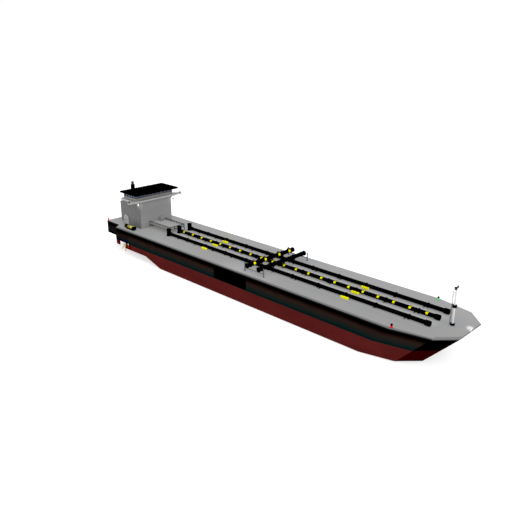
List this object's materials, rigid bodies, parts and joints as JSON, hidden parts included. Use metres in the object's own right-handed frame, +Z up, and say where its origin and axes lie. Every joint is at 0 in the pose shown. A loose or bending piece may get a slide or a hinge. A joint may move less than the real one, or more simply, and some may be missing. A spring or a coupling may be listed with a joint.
{
  "type": "oil tanker, 1:10 scale model",
  "caption": "Flat-decked oil tanker with a raked bow, aft accommodation block and bridge, cargo lines and manifold on deck, turning propellers and rudders, a winch and hinged side doors",
  "frame": {"origin": "on the flat keel, under the middle of the hull's length and beam", "axes": "+X runs to the bow, +Y to port and +Z up"},
  "size_m": [18.494, 3.206, 3.116],
  "materials": {
    "topside_black": "weathered black hull paint, brownish lower down",
    "bottom_red": "dull dark red bottom paint",
    "deck_grey": "matt light grey deck paint",
    "house_grey": "matt mid grey paint",
    "trim_grey": "matt pale grey paint",
    "bridge_beige": "matt warm grey paint",
    "window_glass": "dark navy tinted glass",
    "pipe_black": "satin black paint",
    "soot_brown": "sooty dark brown, matt",
    "fitting_yellow": "bright yellow paint",
    "lamp_white": "white gloss",
    "lamp_red": "red lens under a black hood",
    "lamp_green": "green lens under a black hood",
    "bronze": "golden propeller bronze"
  },
  "bodies": {
    "hull": {"hull_bottom": "bottom_red", "hull_topsides": "topside_black", "main_deck": "deck_grey", "deckhouse": "house_grey", "bridge_deck": "trim_grey", "wheelhouse_walls": "bridge_beige", "wheelhouse_glass": "window_glass", "wheelhouse_roof": "pipe_black", "engine_casing": "house_grey", "funnel": "pipe_black", "funnel_top": "soot_brown", "platform": "deck_grey", "platform_railing": "pipe_black", "platform_locker": "house_grey", "cargo_line_starboard": "pipe_black", "cargo_line_centre": "pipe_black", "cargo_line_port": "pipe_black", "cargo_riser_starboard": "pipe_black", "cargo_riser_centre": "pipe_black", "cargo_riser_port": "pipe_black", "valve_box_aft_starboard": "fitting_yellow", "valve_box_aft_centre": "fitting_yellow", "valve_box_aft_port": "fitting_yellow", "valve_box_fore_starboard": "fitting_yellow", "valve_box_fore_centre": "fitting_yellow", "valve_box_fore_port": "fitting_yellow", "manifold_aft": "pipe_black", "manifold_fore": "pipe_black", "manifold_stand_starboard": "house_grey", "manifold_stand_port": "house_grey", "winch_frame": "fitting_yellow", "foremast": "lamp_white", "foremast_lamps": "pipe_black", "foremast_ladder": "trim_grey", "stem_lamp": "lamp_white", "bow_lamp_starboard": "lamp_red", "bow_lamp_port": "lamp_green", "stern_lamp_starboard": "lamp_red", "stern_lamp_port": "lamp_green", "wing_lamp_starboard": "pipe_black", "wing_lamp_port": "pipe_black", "globe_lamp_starboard": "lamp_white", "globe_lamp_port": "lamp_white", "shaft_starboard": "bottom_red", "shaft_port": "bottom_red"},
    "starboard_propeller": {"propeller_starboard": "bronze"},
    "port_propeller": {"propeller_port": "bronze"},
    "starboard_rudder": {"rudder_starboard": "bottom_red"},
    "port_rudder": {"rudder_port": "bottom_red"},
    "winch_drum": {"winch_drum": "pipe_black"},
    "starboard_door": {"side_door_starboard": "trim_grey"},
    "port_door": {"side_door_port": "trim_grey"}
  },
  "joints": [
    {"name": "starboard_propeller_spin", "type": "hinge", "parent": "hull", "child": "starboard_propeller", "pos_m": [-7.6956, -1.28, 0.215], "axis": [1, 0, 0], "continuous": true},
    {"name": "port_propeller_spin", "type": "hinge", "parent": "hull", "child": "port_propeller", "pos_m": [-7.6956, 1.28, 0.215], "axis": [1, 0, 0], "continuous": true},
    {"name": "port_rudder_turn", "type": "hinge", "parent": "hull", "child": "port_rudder", "pos_m": [-8.42, 1.15, 0.637], "axis": [0, 0, 1], "range_deg": [-35, 35]},
    {"name": "starboard_rudder_turn", "type": "hinge", "parent": "hull", "child": "starboard_rudder", "pos_m": [-8.42, -1.15, 0.637], "axis": [0, 0, 1], "range_deg": [-35, 35]},
    {"name": "winch_drum_spin", "type": "hinge", "parent": "hull", "child": "winch_drum", "pos_m": [-7.08, -1.31, 1.371], "axis": [1, 0, 0], "continuous": true},
    {"name": "starboard_door_swing", "type": "hinge", "parent": "hull", "child": "starboard_door", "pos_m": [-7.738, -0.9463, 1.281], "axis": [0, 0, 1], "range_deg": [0, 90]},
    {"name": "port_door_swing", "type": "hinge", "parent": "hull", "child": "port_door", "pos_m": [-7.738, 0.9463, 1.281], "axis": [0, 0, -1], "range_deg": [0, 90]}
  ],
  "couplings": [
    {"joint": "starboard_rudder_turn", "follows": "port_rudder_turn", "ratio": 1}
  ]
}
